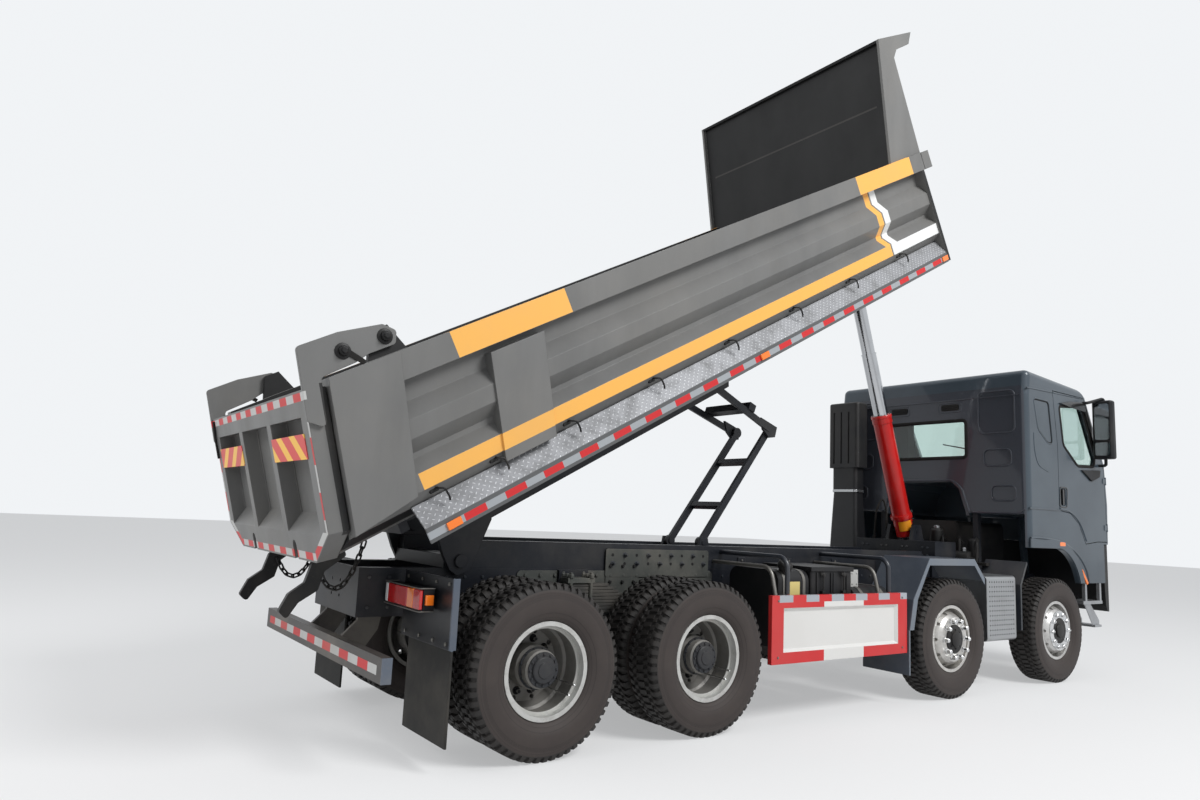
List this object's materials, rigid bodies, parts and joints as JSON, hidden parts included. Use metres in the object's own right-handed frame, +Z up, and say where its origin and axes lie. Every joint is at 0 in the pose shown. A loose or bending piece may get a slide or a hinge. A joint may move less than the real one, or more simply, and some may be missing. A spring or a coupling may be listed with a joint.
{
  "type": "dump truck",
  "caption": "Multi-axle dump truck with a raised trough bed, lifted by a telescopic front hoist, hinged tailgate, tilting cab and steered front axles.",
  "frame": {"origin": "on the ground under the middle of the truck's length and width, at the bottom of the tyres", "axes": "+X forward along the truck, +Y to its left, +Z up"},
  "size_m": [9.3786, 2.92, 6.3217],
  "materials": {
    "aluminium": "satin",
    "bed_paint": "satin, dusty",
    "black_plastic": "grained",
    "cab_paint": "metallic gloss",
    "cast_iron": "as cast, painted",
    "chrome": "polished",
    "frame_paint": "satin, dusty",
    "glass": "tinted",
    "guard_paint": "gloss",
    "hoist_paint": "gloss",
    "tread_plate": "bright tread plate",
    "tyre": "worn",
    "wheel": "satin silver"
  },
  "bodies": {
    "chassis": {"chassis_frame": "frame_paint", "tipper_subframe": "frame_paint", "drive_axles": "cast_iron", "steer_axle_beams": "cast_iron", "leaf_springs": "cast_iron", "engine": "cast_iron", "tanks": "black_plastic", "battery_box": "black_plastic", "air_intake": "black_plastic", "silencer": "aluminium", "mudguards": "black_plastic", "lamps": "black_plastic", "underrun_bar": "guard_paint", "side_guards": "guard_paint", "hoist_mount": "frame_paint"},
    "bed": {"bed_body": "bed_paint", "bed_skirts": "tread_plate", "bed_underframe": "frame_paint", "tailgate_hooks": "cast_iron"},
    "tailgate": {"tailgate": "bed_paint"},
    "cab": {"cab_shell": "cab_paint", "cab_glass": "glass", "cab_interior": "black_plastic", "front_bumper": "black_plastic", "cab_steps": "aluminium"},
    "left_door": {"left_door": "cab_paint", "left_door_glass": "glass", "left_mirror": "black_plastic"},
    "right_door": {"right_door": "cab_paint", "right_door_glass": "glass", "right_mirror": "black_plastic"},
    "front_flap": {"front_flap": "cab_paint"},
    "steering_wheel": {"steering_wheel": "black_plastic"},
    "hoist_barrel": {"hoist_barrel": "hoist_paint"},
    "stabiliser_lower_arm": {"stabiliser_lower_arm": "frame_paint"},
    "stabiliser_upper_arm": {"stabiliser_upper_arm": "frame_paint"},
    "hoist_stage_1": {"hoist_stage_1": "chrome"},
    "hoist_stage_2": {"hoist_stage_2": "chrome"},
    "hoist_stage_3": {"hoist_stage_3": "chrome"},
    "hoist_stage_4": {"hoist_stage_4": "chrome"},
    "first_axle_left_wheel": {"first_axle_left_tyre": "tyre", "first_axle_left_rim": "wheel"},
    "first_axle_left_knuckle": {"first_axle_left_knuckle": "cast_iron"},
    "first_axle_right_wheel": {"first_axle_right_tyre": "tyre", "first_axle_right_rim": "wheel"},
    "first_axle_right_knuckle": {"first_axle_right_knuckle": "cast_iron"},
    "second_axle_left_wheel": {"second_axle_left_tyre": "tyre", "second_axle_left_rim": "wheel"},
    "second_axle_left_knuckle": {"second_axle_left_knuckle": "cast_iron"},
    "second_axle_right_wheel": {"second_axle_right_tyre": "tyre", "second_axle_right_rim": "wheel"},
    "second_axle_right_knuckle": {"second_axle_right_knuckle": "cast_iron"},
    "third_axle_left_wheel": {"third_axle_left_tyre": "tyre", "third_axle_left_rim": "wheel"},
    "third_axle_right_wheel": {"third_axle_right_tyre": "tyre", "third_axle_right_rim": "wheel"},
    "rear_axle_left_wheel": {"rear_axle_left_tyre": "tyre", "rear_axle_left_rim": "wheel"},
    "rear_axle_right_wheel": {"rear_axle_right_tyre": "tyre", "rear_axle_right_rim": "wheel"}
  },
  "joints": [
    {"name": "bed_tilt", "type": "hinge", "parent": "chassis", "child": "bed", "pos_m": [-3.305, 0, 1.15], "axis": [0, -1, 0], "range_deg": [-28.5, 16.5]},
    {"name": "tailgate_swing", "type": "hinge", "parent": "bed", "child": "tailgate", "pos_m": [-4.2391, 0, 2.4407], "axis": [0, 1, 0], "range_deg": [0, 70]},
    {"name": "cab_tilt", "type": "hinge", "parent": "chassis", "child": "cab", "pos_m": [4.415, 0, 1.01], "axis": [0, 1, 0], "range_deg": [0, 50]},
    {"name": "left_door_swing", "type": "hinge", "parent": "cab", "child": "left_door", "pos_m": [4.568, 1.203, 1.91], "axis": [0, 0, -1], "range_deg": [0, 70]},
    {"name": "right_door_swing", "type": "hinge", "parent": "cab", "child": "right_door", "pos_m": [4.568, -1.203, 1.91], "axis": [0, 0, 1], "range_deg": [0, 70]},
    {"name": "front_flap_swing", "type": "hinge", "parent": "cab", "child": "front_flap", "pos_m": [4.615, 0, 2.178], "axis": [0, -1, 0], "range_deg": [0, 75]},
    {"name": "steering", "type": "hinge", "parent": "chassis", "child": "first_axle_left_knuckle", "pos_m": [3.315, 0.915, 0.535], "axis": [0, 0, 1], "range_deg": [-35, 35]},
    {"name": "first_axle_right_steer", "type": "hinge", "parent": "chassis", "child": "first_axle_right_knuckle", "pos_m": [3.315, -0.915, 0.535], "axis": [0, 0, 1], "range_deg": [-35.2, 35.2]},
    {"name": "second_axle_left_steer", "type": "hinge", "parent": "chassis", "child": "second_axle_left_knuckle", "pos_m": [1.365, 0.915, 0.535], "axis": [0, 0, 1], "range_deg": [-21.2, 21.2]},
    {"name": "second_axle_right_steer", "type": "hinge", "parent": "chassis", "child": "second_axle_right_knuckle", "pos_m": [1.365, -0.915, 0.535], "axis": [0, 0, 1], "range_deg": [-21.2, 21.2]},
    {"name": "steering_wheel_turn", "type": "hinge", "parent": "cab", "child": "steering_wheel", "pos_m": [4.005, 0.69, 2.33], "axis": [-0.5736, 0, 0.8192], "range_deg": [-421, 421]},
    {"name": "hoist_tilt", "type": "hinge", "parent": "chassis", "child": "hoist_barrel", "pos_m": [2.405, 0, 1.5], "axis": [0, -1, 0], "range_deg": [-20.72, 12.08]},
    {"name": "stabiliser_lower_tilt", "type": "hinge", "parent": "chassis", "child": "stabiliser_lower_arm", "pos_m": [-0.875, 0, 1.31], "axis": [0, -1, 0], "range_deg": [-51.5, 29.9]},
    {"name": "stabiliser_upper_tilt", "type": "hinge", "parent": "bed", "child": "stabiliser_upper_arm", "pos_m": [-0.8647, 0, 2.6912], "axis": [0, 1, 0], "range_deg": [-51.5, 29.9]},
    {"name": "hoist_stage_1_slide", "type": "slide", "parent": "hoist_barrel", "child": "hoist_stage_1", "axis": [-0.3163, 0, 0.9487], "range_m": [-0.6919, 0.4014]},
    {"name": "hoist_stage_2_slide", "type": "slide", "parent": "hoist_stage_1", "child": "hoist_stage_2", "axis": [-0.3163, 0, 0.9487], "range_m": [-0.6919, 0.4014]},
    {"name": "hoist_stage_3_slide", "type": "slide", "parent": "hoist_stage_2", "child": "hoist_stage_3", "axis": [-0.3163, 0, 0.9487], "range_m": [-0.6919, 0.4014]},
    {"name": "hoist_stage_4_slide", "type": "slide", "parent": "hoist_stage_3", "child": "hoist_stage_4", "axis": [-0.3163, 0, 0.9487], "range_m": [-0.6919, 0.4014]},
    {"name": "first_axle_left_spin", "type": "hinge", "parent": "first_axle_left_knuckle", "child": "first_axle_left_wheel", "pos_m": [3.315, 1.085, 0.535], "axis": [0, 1, 0], "continuous": true},
    {"name": "first_axle_right_spin", "type": "hinge", "parent": "first_axle_right_knuckle", "child": "first_axle_right_wheel", "pos_m": [3.315, -1.085, 0.535], "axis": [0, 1, 0], "continuous": true},
    {"name": "second_axle_left_spin", "type": "hinge", "parent": "second_axle_left_knuckle", "child": "second_axle_left_wheel", "pos_m": [1.365, 1.085, 0.535], "axis": [0, 1, 0], "continuous": true},
    {"name": "second_axle_right_spin", "type": "hinge", "parent": "second_axle_right_knuckle", "child": "second_axle_right_wheel", "pos_m": [1.365, -1.085, 0.535], "axis": [0, 1, 0], "continuous": true},
    {"name": "third_axle_left_spin", "type": "hinge", "parent": "chassis", "child": "third_axle_left_wheel", "pos_m": [-1.685, 0.9275, 0.535], "axis": [0, 1, 0], "continuous": true},
    {"name": "third_axle_right_spin", "type": "hinge", "parent": "chassis", "child": "third_axle_right_wheel", "pos_m": [-1.685, -0.9275, 0.535], "axis": [0, 1, 0], "continuous": true},
    {"name": "rear_axle_left_spin", "type": "hinge", "parent": "chassis", "child": "rear_axle_left_wheel", "pos_m": [-3.035, 0.9275, 0.535], "axis": [0, 1, 0], "continuous": true},
    {"name": "rear_axle_right_spin", "type": "hinge", "parent": "chassis", "child": "rear_axle_right_wheel", "pos_m": [-3.035, -0.9275, 0.535], "axis": [0, 1, 0], "continuous": true}
  ],
  "couplings": [
    {"joint": "hoist_tilt", "follows": "bed_tilt", "ratio": 0.72},
    {"joint": "stabiliser_lower_tilt", "follows": "bed_tilt", "ratio": 1.8},
    {"joint": "stabiliser_upper_tilt", "follows": "bed_tilt", "ratio": 1.8},
    {"joint": "first_axle_right_steer", "follows": "steering", "ratio": 1},
    {"joint": "second_axle_left_steer", "follows": "steering", "ratio": 0.6},
    {"joint": "second_axle_right_steer", "follows": "steering", "ratio": 0.6},
    {"joint": "steering_wheel_turn", "follows": "steering", "ratio": 12},
    {"joint": "hoist_stage_1_slide", "follows": "bed_tilt", "m_per_rad": 1.387},
    {"joint": "hoist_stage_2_slide", "follows": "bed_tilt", "m_per_rad": 1.387},
    {"joint": "hoist_stage_3_slide", "follows": "bed_tilt", "m_per_rad": 1.387},
    {"joint": "hoist_stage_4_slide", "follows": "bed_tilt", "m_per_rad": 1.387}
  ]
}
